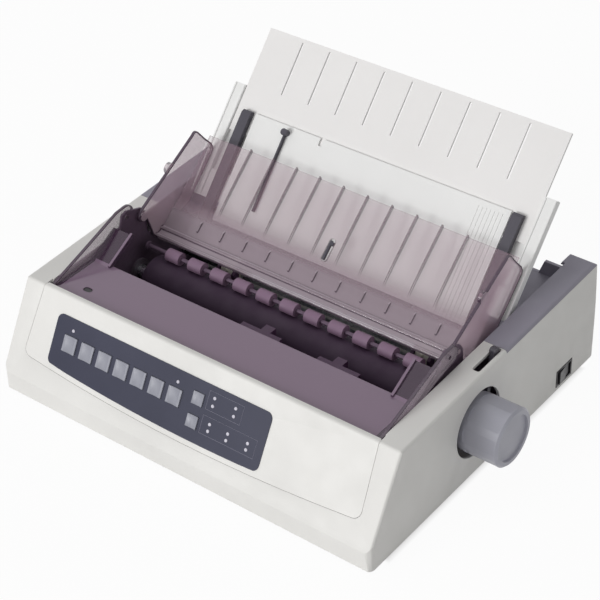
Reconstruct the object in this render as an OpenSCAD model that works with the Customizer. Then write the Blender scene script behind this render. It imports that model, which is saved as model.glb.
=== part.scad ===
// Dot matrix printer with a hinged smoke cover, a ribbed paper separator
// and a raised sheet support. X runs across, Y from front to back, Z up.
// Shapes are drawn from the middle of the case's front foot line and then
// moved so that the origin lies under the middle of the whole printer.

/* [Case] */
// Width of the case rails beside the opening
rail_w = 22.5; // [20:0.5:26]
// Depth of the case at the table
case_d = 345; // [342:1:352]
// Height of the crease where the front starts to slope back
crease_z = 21.5; // [19:0.5:24]
// Height of the front top edge
front_top_z = 98.5; // [97:0.5:101]
// How far the front top edge lies behind the front lip
front_top_y = 42.5; // [40:0.5:44]
// Height of the case top at the rear
rear_top_z = 107; // [105:0.5:109]
// How far the rear wall leans forward at its top
rear_lean = 9; // [6:0.5:11]
// Wall thickness of the case mouldings
wall = 3; // [2.6:0.1:3.4]
// Radius of the upright case corners
corner_r = 7; // [4:0.5:10]
// Height of the rubber feet below the case
foot_h = 2; // [1.5:0.1:3]
// Radius of the long edges of the case top
edge_r = 2.5; // [1.5:0.5:3]
// Gap between mouldings that meet
seam = 0.3; // [0.2:0.05:0.4]

/* [Front module] */
// How far the front module's lower corners reach past the opening
module_reach = 4.5; // [2:0.5:6]
// Height of the bowed lower seam in the middle, up the slope
seam_mid = 13.5; // [11:0.5:16]
// Rise of the bowed seam from the middle to its ends
seam_rise = 8.5; // [6:0.5:10]
// Depth of the deck under the cover's front strip
deck_d = 52; // [48:1:54]
// How deep the cover lies below the front top edge
deck_drop = 6; // [5:0.5:7]

/* [Operator panel] */
// Width of the dark overlay
overlay_w = 234; // [230:1:238]
// Offset of the overlay's middle from the case middle
overlay_x = -37; // [-40:1:-34]
// Height of the overlay's upper edge, up the slope
overlay_top = 71.5; // [70:0.5:73]
// Thickness of the overlay
overlay_t = 0.6; // [0.4:0.1:0.8]
// Pitch of the large keys
key_pitch = 19.6; // [18.8:0.2:20]
// Width of a large key
key_w = 14.5; // [13:0.5:15.5]
// Height of a large key
key_h = 15; // [14:0.5:16]
// Width and height of a small key
small_key = 11; // [9:0.5:12]
// Depth of the hollow in a key's face
key_dish = 0.5; // [0.3:0.1:0.7]
// How far a key stands out of the overlay
key_proud = 1.3; // [1.1:0.1:1.6]
// Thickness of the control board
board_t = 1.6; // [1.2:0.2:2]

/* [Cover] */
// Width of the opening in the case top
opening_w = 353; // [350:1:356]
// Thickness of the smoke mouldings
smoke_t = 2.4; // [2:0.1:2.8]
// Gap between neighbouring upright plates
plate_gap = 1; // [0.8:0.1:1.2]
// Height of the cover's hinge axis
cover_pin_z = 116; // [114:0.5:118]
// Distance of the cover's hinge axis behind the front lip
cover_pin_y = 143; // [141:0.5:145]
// Height of the separator's hinge axis
sep_pin_z = 109; // [107:0.5:110]
// Distance of the separator's hinge axis behind the front lip
sep_pin_y = 161; // [160:0.5:163]
// Radius of the hinge pins
pin_r = 2.5; // [2:0.1:3]

/* [Separator] */
// Number of ribs on the separator
rib_count = 10; // [8:1:11]
// Pitch of the separator's ribs
rib_pitch = 26; // [25:0.5:27]
// Height of a rib at the top edge
rib_h = 3.2; // [2.5:0.1:3.6]
// Length of the separator plate up its slope
sep_len = 96; // [92:1:98]

/* [Sheet support] */
// Lean of the sheet support from upright
support_tilt = 41.8; // [40:0.2:43]
// Width of the support panel's side rims
panel_rim = 12; // [10:0.5:13]
// Length of the support panel up its slope
panel_len = 110; // [106:1:112]
// Number of slits in the extension
slit_count = 9; // [7:1:10]
// Pitch of the slits
slit_pitch = 30.4; // [29:0.2:31]
// Width of a slit
slit_w = 2; // [1.6:0.1:2.6]
// Travel of the extension
ext_travel = 36; // [30:1:37]
// Distance between the outer faces of the support arms
arm_span = 302; // [300:1:304]
// Width of one support arm
arm_w = 10; // [8:0.5:11]

/* [Platen and paper drive] */
// Radius of the platen roller
platen_r = 21; // [20.5:0.1:21.2]
// Length of the platen roller
platen_len = 300; // [296:1:304]
// Distance of the platen axis behind the front lip
platen_y = 152.5; // [151:0.5:154]
// Height of the platen axis
platen_z = 53; // [51.5:0.5:54]
// Radius of the platen shaft
shaft_r = 6; // [5.5:0.1:6.5]
// Number of rollers on the paper bail
bail_count = 11; // [7:2:11]
// Radius of the platen knob at its face
knob_r = 26.5; // [25:0.5:27]
// Reach of the knob beyond the case side
knob_reach = 34; // [32:0.5:36]
// Teeth of the platen gear
platen_teeth = 40; // [40:1:40]
// Teeth of the idler gear
idler_teeth = 30; // [30:1:30]
// Teeth of the tractor gear
tractor_teeth = 24; // [24:1:24]
// Teeth of the feed motor's pinion
pinion_teeth = 12; // [12:1:12]
// Width of the gears
gear_w = 5; // [4:0.5:6]
// Play between meshing teeth
backlash = 0.35; // [0.25:0.05:0.5]
// Clearance of a shaft in its bore
run_fit = 0.05; // [0.03:0.01:0.08]

/* [Print carriage] */
// Place of the carriage across the printer
carriage_x = 40; // [20:1:60]
// Distance of the carriage shaft behind the front lip
rail_y = 96; // [95:0.5:97]
// Height of the carriage shaft
rail_z = 30; // [29:0.5:31]
// Radius of the carriage shaft
rail_r = 5; // [4.5:0.1:5.5]
// Width of the ribbon cartridge
cartridge_w = 124; // [112:1:128]

/* [Switch and knobs] */
// Length of the power switch opening
switch_d = 26; // [24:1:28]
// Height of the power switch opening
switch_h = 18; // [16:1:19]
// Distance of the power switch behind the front lip
switch_y = 291; // [288:1:294]
// Length of the paper lever's slot
slot_d = 35; // [33:1:37]

/* [Hidden] */

// Colours
shell_c = [0.93, 0.92, 0.90];
slate_c = [0.40, 0.43, 0.48];
navy_c = [0.24, 0.24, 0.34];
key_c = [0.68, 0.70, 0.74];
smoke_c = [0.45, 0.35, 0.45, 0.6];
black_c = [0.10, 0.10, 0.12];
steel_c = [0.75, 0.76, 0.78];
knob_c = [0.57, 0.61, 0.66];
board_c = [0.16, 0.36, 0.22];
sheet_c = [0.96, 0.96, 0.95];

big = 600;
eps = 0.01;
fine = 64;
lip_set = 1.3;
case_z = foot_h;
case_w = opening_w + 2 * rail_w;
module_half = opening_w / 2 + module_reach;
shift = [-knob_reach / 2, -case_d / 2, 0];

// Front slope: s runs up it from the crease
slope_run = [front_top_y, front_top_z - crease_z];
slope_len = norm(slope_run);
slope_a = atan2(slope_run[0], slope_run[1]);
corner_x = 8;
module_in = 5;
seam_end = seam_mid + seam_rise;

// Upright plates at each side, from the case opening inwards
cheek_out = opening_w / 2 - plate_gap;
cheek_in = cheek_out - smoke_t;
frame_t = 2;
frame_out = cheek_in - plate_gap;
frame_in = frame_out - frame_t;
ear_out = frame_in - plate_gap;
ear_in = ear_out - smoke_t;
frame_z = 8;

// Cover and deck
deck_z = front_top_z - deck_drop;
deck_t = 2.5;
strip_y = front_top_y + 5;
strip_end = strip_y + deck_d - 0.5;
// Inner edges, rear end and rise of the cover's flat side arms
arm_in = 150.5;
arm_end = 128;
arm_rise = 17;

// Separator: slope through its rib tops
sep_a = 50;
sep_y = 184;
sep_z = 83;

// Sheet support: v runs up it, w stands out of it towards the front
sup_pivot_z = 70;
sup_y = 210.2;
sup_rod_r = 3;
sup_rod_w = -4.3;
panel_v = 33.5;
rest_low_v = 16.5;
rest_top_v = 122;
// The panel's spacer ends just below the lowered extension
spacer_top = panel_v + 27;
ext_bottom_v = spacer_top + ext_travel + 3.5;
ext_len = 101;
layer_panel = [-6, -4];
layer_ext = [-3.5, -1.2];
layer_rest = [-0.7, 0.8];
arm_front_w = 5;

// Gear train, module 1
idler_a = -10;
idler_r = (platen_teeth + idler_teeth) / 2;
idler_y = platen_y + idler_r * cos(idler_a);
idler_z = platen_z + idler_r * sin(idler_a);
pinion_a = -80;
pinion_run = (idler_teeth + pinion_teeth) / 2;
pinion_y = idler_y + pinion_run * cos(pinion_a);
pinion_z = idler_z + pinion_run * sin(pinion_a);
tractor_a = -10;
tractor_run = (idler_teeth + tractor_teeth) / 2;
tractor_y = idler_y + tractor_run * cos(tractor_a);
tractor_z = idler_z + tractor_run * sin(tractor_a);
gear_x = -frame_out - 1;
motor_r = 17.4;
tractor_rod_y = tractor_y + 24;
tractor_rod_r = 3;

// Height of the main board
main_z = 12;

// Carriage
belt_y = rail_y - 24;
belt_z = rail_z - 3;
belt_r = 8;
belt_x = frame_in - motor_r - 2.7;
belt_h = 6;
belt_t = 1.2;
plate_z = rail_z + 10;
rail_front = rail_y - 36;

// Helpers
module mirrored() { children(); mirror([1, 0, 0]) children(); }
module along_x(x0, x1) {
    translate([x0, 0, 0]) rotate([90, 0, 90]) linear_extrude(x1 - x0) children();
}
module along_y(y0, y1) {
    translate([0, y1, 0]) rotate([90, 0, 0]) linear_extrude(y1 - y0) children();
}
module rod_x(x0, x1, y, z, r, n = fine) {
    translate([x0, y, z]) rotate([0, 90, 0]) cylinder(h = x1 - x0, r = r, $fn = n);
}
// Box between two corners
module span(a, b) { translate(a) cube(b - a); }
// Points of an arc about c
function arc(c, r, a0, a1, n) =
    [for (i = [0:n]) c + r * [cos(a0 + (a1 - a0) * i / n), sin(a0 + (a1 - a0) * i / n)]];
// Corner points of a rounded rectangle about the middle
function rounded(w, h, r, n = 6) = concat(
    arc([w / 2 - r, h / 2 - r], r, 0, 90, n), arc([r - w / 2, h / 2 - r], r, 90, 180, n),
    arc([r - w / 2, r - h / 2], r, 180, 270, n), arc([w / 2 - r, r - h / 2], r, 270, 360, n));
// Points that round corner p between its neighbours a and b
function fillet(a, p, b, r, n = 4) =
    let (u = (a - p) / norm(a - p), v = (b - p) / norm(b - p), half = acos(u * v) / 2,
        c = p + (u + v) / norm(u + v) * r / sin(half), t0 = p + u * r / tan(half) - c,
        t1 = p + v * r / tan(half) - c, a0 = atan2(t0[1], t0[0]),
        turn = (180 - 2 * half) * sign(t0[0] * t1[1] - t0[1] * t1[0]))
    arc(c, r, a0, a0 + turn, n);
// Frame of the front slope: x across, z up the slope, -y outwards
module on_slope() { translate([0, 0, crease_z]) rotate([-slope_a, 0, 0]) children(); }
module slope_plate(y0, y1) { translate([0, y1, 0]) rotate([90, 0, 0])
    linear_extrude(y1 - y0) children(); }
// Frame of the sheet support: x across, y towards the front, z up the support
module on_support() {
    translate([0, sup_y, sup_pivot_z]) rotate([-support_tilt, 0, 0]) rotate([0, 0, 180]) children();
}
module on_separator() { translate([0, sep_y, sep_z]) rotate([-sep_a, 0, 0]) children(); }
function top_z(y) = front_top_z
    + (rear_top_z - front_top_z) * (y - front_top_y) / (case_d - rear_lean - front_top_y);

// Spur gear of module 1 along X, tooth 0 turned by phase
module gear(teeth, x0, width, bore, phase = 0) {
    root = teeth / 2 - 1.25;
    half = 90 / teeth - backlash / teeth * 45;
    translate([x0, 0, 0]) rotate([90, 0, 90]) linear_extrude(width) difference() {
        polygon([for (i = [0:teeth - 1]) for (p = [
            [root, -1.75], [teeth / 2 - 0.1, -1], [teeth / 2 + 0.9, -0.45],
            [teeth / 2 + 0.9, 0.45], [teeth / 2 - 0.1, 1], [root, 1.75]])
            let (a = phase + i * 360 / teeth + p[1] * half)
            p[0] * [cos(a), sin(a)]]);
        circle(r = bore, $fn = fine);
    }
}

// ---- Case ----
lip = [lip_set, case_z];
crease = [0, crease_z];
front_edge = [front_top_y, front_top_z];
rear_edge = [case_d - rear_lean, rear_top_z];
heel = [case_d, case_z];
case_side = concat([lip], fillet(lip, crease, front_edge, 2), fillet(crease, front_edge, rear_edge, 3),
    fillet(front_edge, rear_edge, heel, 4), [heel]);
top_a = atan2(rear_top_z - front_top_z, rear_edge[0] - front_edge[0]);
module case_solid() {
    difference() {
        intersection() {
            along_x(-case_w / 2, case_w / 2) polygon(case_side);
            translate([0, case_d / 2, 0]) linear_extrude(big) polygon(rounded(case_w, case_d, corner_r));
        }
        // The long edges, rounded along the top and down the front slope
        mirrored() for (a = [top_a, 90 - slope_a]) translate([case_w / 2, front_top_y, front_top_z])
            rotate([a, 0, 0]) along_y(-120, big) polygon(concat(arc([-edge_r, -edge_r], edge_r, 0, 90, 4),
                [[-edge_r, 1], [1, 1], [1, -edge_r]]));
    }
}
module case_cavity() {
    half = case_w / 2 - wall;
    intersection() {
        along_x(-half, half) polygon([[lip_set + wall, -1], [wall, crease_z],
            [front_top_y + wall * tan(slope_a), front_top_z - wall],
            [case_d - rear_lean - wall, rear_top_z - wall], [case_d - wall, -1]]);
        translate([0, case_d / 2, -2])
            linear_extrude(big) polygon(rounded(2 * half, case_d - 2 * wall, corner_r - wall / 2));
    }
}
function seam_s(x) = seam_mid + seam_rise * pow(x / (module_half - corner_x), 2);
// Outline of the front module on the slope, drawn in by g
module module_outline(g) {
    half = module_half - corner_x;
    run = [for (i = [0:14]) let (x = -half + i * half / 7) [x, seam_s(x) + g]];
    right = arc([half, seam_end + corner_x], corner_x - g, -80, 0, 5);
    left = arc([-half, seam_end + corner_x], corner_x - g, 180, 260, 5);
    top = slope_len + 30;
    polygon(concat(run, right, [[module_half - module_in - g, top], [module_in + g - module_half,
        top]], left));
}
// Everything above a line that runs d below the case top, behind y0
module above_top(y0, d) {
    y1 = case_d + 20;
    along_x(-big / 2, big / 2) polygon([[y0, top_z(y0) - d], [y1, top_z(y1) - d], [y1, 200], [y0, 200]]);
}
rear_y = 192;
rear_wall_z = 70;
knob_hole_r = knob_r + 5.5;
slot_y = 156 + slot_d / 2;
slot_x = opening_w / 2 + rail_w * 2 / 3;
slot_w = 7;
module outer_case() {
    color(shell_c) difference() {
        case_solid();
        case_cavity();
        // Opening in the top, from the front module to the rear cover
        span([-opening_w / 2, front_top_y + 2, deck_z - 20], [opening_w / 2, case_d - rear_lean - wall,
            200]);
        // Seat of the front module
        on_slope() slope_plate(-20, wall + 6) module_outline(0);
        span([-opening_w / 2, front_top_y - 20, deck_z], [opening_w / 2, front_top_y + 20, 200]);
        // Seat of the rear cover
        above_top(rear_y - seam, wall + seam);
        span([-case_w / 2 + wall, case_d - 40, rear_wall_z], [case_w / 2 - wall, case_d + 10, 200]);
        // Round hole that the knob runs in
        rod_x(case_w / 2 - 10, case_w / 2 + 10, platen_y, platen_z, knob_hole_r);
        // Power switch, paper lever, inlet and interface connector
        span([case_w / 2 - 10, switch_y - switch_d / 2, switch_z0],
            [case_w / 2 + 10, switch_y + switch_d / 2, switch_z0 + switch_h]);
        translate([slot_x, slot_y, 90]) linear_extrude(40) polygon(rounded(slot_w, slot_d, 2));
        rear_port(inlet_x, inlet_w, inlet_h);
        rear_port(port_x, port_w, port_h);
    }
}
switch_z0 = 5.5;
inlet_x = 130;
inlet_w = 31;
inlet_h = 26;
port_x = -95;
port_w = 66;
port_h = 19;

port_z = main_z + board_t - seam;
module rear_port(x, w, h) { span([x - w / 2, case_d - 20, port_z], [x + w / 2, case_d + 5, port_z + h]); }

// ---- Front module ----
overlay_half = overlay_w / 2;
key_s = 48.3;
small_x = 7;
small_s = [55.4, 35.4];
lens_at = [[22.4, 61.8], [22.4, 54.9], [44.4, 61.8], [44.4, 54.9], [24.4, 39.6], [24.4, 33.6],
    [43.6, 39.2], [43.6, 33.4], [64.2, 39.4], [64.2, 33.8], [-134.3, 61], [-16.7, 61]];
lens_r = 1.4;
function key_x(i) = -134.3 + key_pitch * i;
// Keys: middle x and s, width and height
keys = concat([for (i = [0:6]) [key_x(i), key_s, key_w, key_h]],
    [for (s = small_s) [small_x, s, small_key, small_key]]);
key_play = 0.25;
key_flange = 1.2;
board_y = 9;
function overlay_s(x) = seam_s(x) + 5;
module overlay_outline(g) {
    x0 = overlay_x - overlay_half + g;
    x1 = overlay_x + overlay_half - g;
    r = 6;
    low = [for (i = [1:11]) let (x = x0 + (x1 - x0) * i / 12) [x, overlay_s(x) + g]];
    polygon(concat(arc([x0 + r, overlay_s(x0 + r) + g + r], r, 180, 240, 4), low,
        arc([x1 - r, overlay_s(x1 - r) + g + r], r, -70, 0, 4), arc([x1 - r, overlay_top - g - r], r,
            0, 90, 5),
        arc([x0 + r, overlay_top - g - r], r, 90, 180, 5)));
}
module key_holes() {
    for (k = keys) translate([k[0], k[1]]) square([k[2] + 2 * key_play, k[3] + 2 * key_play],
        center = true);
}
module lens_holes(play) {
    for (p = lens_at) translate(p) circle(r = lens_r + play, $fn = 24);
}
module front_panel() {
    top_half = opening_w / 2 - seam;
    cap_y = strip_y - 0.5;
    color(shell_c) difference() {
        union() {
            intersection() {
                union() {
                    on_slope() slope_plate(0, wall) module_outline(seam);
                    // Top edge and the deck behind it
                    along_x(-top_half, top_half) polygon([[front_top_y - 0.2, front_top_z + 1],
                        [cap_y, front_top_z], [cap_y, deck_z], [strip_end, deck_z],
                        [strip_end, deck_z - deck_t], [front_top_y - 2.2, deck_z - deck_t]]);
                }
                along_x(-case_w / 2, case_w / 2) polygon(case_side);
            }
            // Bosses that carry the control board
            on_slope() for (x = board_screws) for (s = board_rows)
                translate([x, wall - eps, s]) rotate([-90, 0, 0]) cylinder(h = board_y - wall + eps,
                    r = 3, $fn = 24);
        }
        on_slope() slope_plate(-1, wall + 1) { key_holes(); lens_holes(0.15); }
    }
}
board_screws = [overlay_x - overlay_half + 6, overlay_x, overlay_x + overlay_half - 6];
board_rows = [28, 66];
module panel_overlay() {
    color(navy_c) on_slope() slope_plate(-overlay_t, 0) difference() {
        overlay_outline(0);
        key_holes();
        lens_holes(0.15);
    }
}
module indicator_lenses() {
    color([0.80, 0.84, 0.80]) on_slope() for (p = lens_at)
        translate([p[0], board_y, p[1]]) rotate([90, 0, 0]) cylinder(h = board_y + overlay_t + 0.3,
            r = lens_r, $fn = 24);
}
switch_body = 2.1;
module control_board() {
    color(board_c) on_slope() {
        difference() {
            translate([overlay_x - overlay_half + 1, board_y, 24]) cube([overlay_w - 2, board_t, 46]);
            for (x = board_screws) for (s = board_rows)
                translate([x, board_y - 1, s]) rotate([-90, 0, 0]) cylinder(h = board_t + 2, r = 1.2,
                    $fn = 24);
        }
        for (k = keys) translate([k[0] - 3, board_y - switch_body, k[1] - 3])
            cube([6, switch_body + eps, 6]);
    }
}
// One key: cap with a dished face, flange behind the panel and a stem
dish_r = 28;
module key(i) {
    k = keys[i];
    face = -overlay_t - key_proud;
    stem_end = board_y - switch_body - 1.2;
    color(key_c) on_slope() translate([k[0], 0, k[1]]) difference() {
        union() {
            span([-k[2] / 2, face, -k[3] / 2], [k[2] / 2, wall + 0.2, k[3] / 2]);
            span([-k[2] / 2 - 1, wall + 0.1, -k[3] / 2 - 1], [k[2] / 2 + 1, wall + 0.1 + key_flange,
                k[3] / 2 + 1]);
            span([-1.5, wall + 0.5, -1.5], [1.5, stem_end, 1.5]);
        }
        translate([0, face + key_dish - dish_r, -k[3]]) cylinder(h = 2 * k[3], r = dish_r, $fn = 180);
    }
}

// ---- Rear cover ----
notch_low = 73;
notch_step = 88;
floor_y = 262;
floor_z = 60;
module rear_cover() {
    in_half = opening_w / 2;
    color(slate_c) {
        // Side rails and rear wall with the stepped paper notch
        difference() {
            intersection() { case_solid(); above_top(rear_y, wall); }
            span([-in_half, 0, 0], [in_half, big, 200]);
        }
        intersection() {
            difference() { case_solid(); case_cavity(); }
            along_y(case_d - 25, case_d + 5) polygon([[-in_half - eps, rear_wall_z + seam],
                [in_half + eps, rear_wall_z + seam],
                [in_half + eps, rear_top_z + 2], [in_half - 2, rear_top_z + 2], [165, notch_step],
                    [148, notch_step], [142, notch_low],
                [-142, notch_low], [-148, notch_step], [-165, notch_step],
                    [2 - in_half, rear_top_z + 2], [-in_half - eps, rear_top_z + 2]]);
        }
        // Skirts below the rails and the floor between them
        mirrored() along_x(in_half - 0.5, in_half + 2) polygon([[rear_y, top_z(rear_y) - 1], [rear_y, 84],
            [floor_y, floor_z - 2], [case_d - 12, rear_wall_z + seam], [case_d - 6, rear_wall_z + seam],
            [case_d - rear_lean - 4, rear_top_z - 2]]);
        along_x(-in_half - 1, in_half + 1)
            polygon([[floor_y, floor_z], [case_d - 8, rear_wall_z + 0.5], [case_d - 8, notch_low],
            [floor_y, floor_z + 2.5]]);
        // Shallow ribs that the forms ride on
        for (x = [-120:30:120]) along_x(x - 1, x + 1)
            polygon([[floor_y, floor_z + 2], [case_d - 8, notch_low - 0.5],
            [case_d - 8, notch_low + 1.2], [floor_y + 2, floor_z + 3.6]]);
    }
}

// ---- Base ----
pan_t = 2.5;
pan_z = case_z + 0.3;
pan_top = pan_z + pan_t;
pan_gap = wall + 0.4;
rim_h = 2;
feet_at = [for (x = [-165, 165]) for (y = [40, case_d - 40]) [x, y]];
frame_screws = [for (x = [-150, 150]) for (y = [104, 225]) [x, y]];
vent_y = [120, 160];
module base_pan() {
    w = case_w - 2 * pan_gap;
    color(shell_c) difference() {
        union() {
            translate([0, (lip_set + case_d) / 2, pan_z]) linear_extrude(pan_t)
                polygon(rounded(w, case_d - lip_set - 2 * pan_gap - 0.8, corner_r - 1));
            // Low rim that stiffens the pan
            difference() {
                span([-w / 2 + 1, 8, pan_z], [w / 2 - 1, case_d - 8, pan_top + rim_h]);
                span([-w / 2 + 3, 10, pan_z - 1], [w / 2 - 3, case_d - 10, pan_top + rim_h + 1]);
            }
            // Pads under the frame
            for (p = frame_screws) translate([p[0], p[1], pan_z]) cylinder(h = frame_z - 2 - pan_z,
                r = 7, $fn = 32);
        }
        for (p = feet_at) translate([p[0], p[1], 0]) cylinder(h = pan_z + 1, r = 9, $fn = 48);
        // Vents
        mirrored() for (x = [30:12:150]) span([x, vent_y[0], 0], [x + 4, vent_y[1], 20]);
        span([w / 2 - 5, switch_y - switch_d / 2 - 1, pan_top],
            [w / 2 + 1, switch_y + switch_d / 2 + 1, 30]);
    }
}
module feet() {
    color(black_c) for (p = feet_at) translate([p[0], p[1], 0]) {
        cylinder(h = foot_h + 0.4, r1 = 8, r2 = 8.6, $fn = 48);
        translate([0, 0, foot_h + 0.4 - eps]) cylinder(h = pan_z + 1 - foot_h - 0.4, r = 8.6, $fn = 48);
    }
}
screw_r = 3;
module case_screws() {
    color(steel_c) {
        for (p = frame_screws) translate([p[0], p[1], frame_z]) cylinder(h = 2, r = screw_r, $fn = 24);
        on_slope() for (x = board_screws) for (s = board_rows)
            translate([x, board_y + board_t, s]) rotate([-90, 0, 0]) cylinder(h = 1.6, r = 2.2, $fn = 24);
        // Pillars under the main board and the screws that hold it
        for (p = board_posts) translate([p[0], p[1], pan_top]) {
            cylinder(h = main_z - pan_top, r = screw_r, $fn = 6);
            translate([0, 0, main_z + board_t - pan_top]) cylinder(h = 2, r = screw_r, $fn = 24);
        }
    }
}
module base_frame() {
    color(steel_c) difference() {
        union() {
            span([-frame_out, frame_front, frame_z - frame_t], [frame_out, frame_back, frame_z]);
            translate([belt_x, belt_y, frame_z - eps]) cylinder(h = belt_z + belt_h - frame_z, r = 3,
                $fn = 32);
        }
        for (x = [-90, 0, 90]) translate([x, 150, 0]) linear_extrude(20) polygon(rounded(60, 70, 1.5, 3));
    }
}
frame_front = 58;
frame_back = 240;
lever_y = slot_y;
frame_end = 250;
lever_z = 62;
bail_in = 160;
bail_y = 170.5;
bail_z = 68.5;
module side_frames() {
    outline = [[frame_front + 2, frame_z], [frame_front + 2, 42], [82, 70], [126, 84],
        [cover_pin_y - 9, cover_pin_z - 6], [cover_pin_y - 6, cover_pin_z + 4],
        [cover_pin_y, cover_pin_z + 6], [cover_pin_y + 6, cover_pin_z + 4],
            [sep_pin_y + 2, sep_pin_z + 6],
        [sep_pin_y + 6, sep_pin_z], [sep_pin_y + 8, 84], [222, 82], [228, 62], [frame_end, 56],
            [frame_end, frame_z]];
    color(steel_c) difference() {
        mirrored() along_x(frame_in, frame_out) polygon(outline);
        for (h = [[platen_y, platen_z, bush_r + run_fit], [rail_y, rail_z, rail_r + run_fit],
            [cover_pin_y, cover_pin_z, pin_r + run_fit], [sep_pin_y, sep_pin_z, pin_r + run_fit],
            [bail_y, bail_z, pin_r + run_fit], [sup_rod_y, sup_rod_z, sup_rod_r + run_fit],
            [tractor_y, tractor_z, journal_r + run_fit], [tractor_rod_y, tractor_z,
                tractor_rod_r + run_fit]])
            rod_x(-case_w, case_w, h[0], h[1], h[2]);
        rod_x(-case_w, 0, idler_y, idler_z, 3 + run_fit);
        rod_x(-case_w, 0, pinion_y, pinion_z, 7);
        rod_x(0, case_w, lever_y, lever_z, 3 + run_fit);
    }
}
bush_r = 9;
journal_r = 3.5;
sup_rod_y = sup_y - sup_rod_w * cos(support_tilt);
sup_rod_z = sup_pivot_z + sup_rod_w * sin(support_tilt);
module shaft_bushes() {
    color([0.85, 0.80, 0.62]) mirrored() difference() {
        union() {
            rod_x(frame_in - 1, frame_out + 0.8, platen_y, platen_z, bush_r);
            rod_x(frame_in - 2.5, frame_in - 0.02, platen_y, platen_z, bush_r + 2.5);
        }
        rod_x(0, case_w, platen_y, platen_z, shaft_r + run_fit);
    }
}
// Fixed shafts: the carriage's in front, the tractors' behind
module guide_shafts() {
    color(steel_c) {
        rod_x(-frame_out - 1, frame_out + 1, rail_y, rail_z, rail_r);
        rod_x(-frame_out - 0.5, frame_out + 0.5, tractor_rod_y, tractor_z, tractor_rod_r);
    }
}
module guide_rail() {
    color(steel_c) along_x(-frame_in + 0.2, frame_in - 0.2) polygon([[rail_front - 5, plate_z - 12],
        [rail_front - 5, plate_z - 0.4],
        [rail_front + 4, plate_z - 0.4], [rail_front + 4, plate_z - 2.4],
            [rail_front - 3, plate_z - 2.4], [rail_front - 3, plate_z - 12]]);
}
module paper_chute() {
    r0 = platen_r + 2.5;
    r1 = r0 + 1.6;
    half = frame_in - 0.2;
    color(black_c) translate([0, platen_y, platen_z]) along_x(-half, half)
        polygon(concat(arc([0, 0], r1, 200, 345, 36), arc([0, 0], r0, 345, 200, 36)));
}

// ---- Electronics ----
// Rear edges of the main board and the power supply
main_y1 = case_d - 13;
main_y0 = main_y1 - 78;
main_x = [-160, 50];
supply_y = [main_y0, case_d - 27];
supply_x = [62, 112, 150, 172];
supply_top = 50;
board_posts = [for (x = [main_x[0] + 10, main_x[1] - 10]) for (y = [main_y0 + 8, main_y1 - 7]) [x, y]];
// Parts on the main board: corner from the board's front left, size and height
chips = [[30, 21, 38, 14, 4], [90, 26, 30, 30, 3], [140, 16, 36, 12, 4], [170, 46, 20, 20, 3]];
module main_board() {
    color(board_c) {
        span([main_x[0], main_y0, main_z], [main_x[1], main_y1, main_z + board_t]);
        for (c = chips) translate([main_x[0] + c[0], main_y0 + c[1], main_z + board_t - eps])
            cube([c[2], c[3], c[4]]);
    }
}
module power_supply() {
    color(steel_c) {
        // Vented case of the transformer, its base plate and the rectifier
        difference() {
            span([supply_x[0], supply_y[0], pan_top], [supply_x[1], supply_y[1], supply_top]);
            for (z = [16:8:40]) span([supply_x[0] - 1, supply_y[0] + 8, z],
                [supply_x[1] + 1, supply_y[1] - 8, z + 3]);
        }
        span([supply_x[2], supply_y[0] + 8, pan_top], [supply_x[3], supply_y[1], supply_top - 10]);
        span([supply_x[1] - 1, supply_y[0] + 8, pan_top], [supply_x[2] + 1, supply_y[1], pan_top + 3]);
    }
}
// Step motors: paper feed at the left frame, carriage under its pulley
module motors() {
    color(black_c) {
        difference() {
            rod_x(-frame_in, -frame_in + 30, pinion_y, pinion_z, motor_r);
            rod_x(-frame_in - 1, -frame_in + 2, pinion_y, pinion_z, 3);
        }
        difference() {
            translate([-belt_x, belt_y, frame_z]) cylinder(h = motor_top - frame_z, r = motor_r,
                $fn = fine);
            translate([-belt_x, belt_y, motor_top - 4]) cylinder(h = 5, r = 2 + run_fit, $fn = 32);
        }
    }
}
module belt_outline(r) {
    polygon(concat(arc([belt_x, belt_y], r, -90, 90, 20), arc([-belt_x, belt_y], r, 90, 270, 20)));
}
module carriage_belt() {
    color(black_c) translate([0, 0, belt_z]) linear_extrude(belt_h) difference() {
        belt_outline(belt_r + belt_t);
        belt_outline(belt_r + 0.05);
    }
}
motor_top = belt_z - 2.6;
module pulley(x) {
    color(steel_c) translate([x, belt_y, 0]) {
        translate([0, 0, belt_z]) cylinder(h = belt_h, r = belt_r, $fn = fine);
        translate([0, 0, belt_z - 1.6]) cylinder(h = 1.6, r = belt_r + 2, $fn = fine);
        translate([0, 0, belt_z + belt_h]) cylinder(h = 1.6, r = belt_r + 2, $fn = fine);
    }
}
module drive_pulley() {
    pulley(-belt_x);
    color(steel_c) translate([-belt_x, belt_y, motor_top - 3])
        cylinder(h = belt_z - 1.6 - motor_top + 3 + eps, r = 2, $fn = 32);
}
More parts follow.
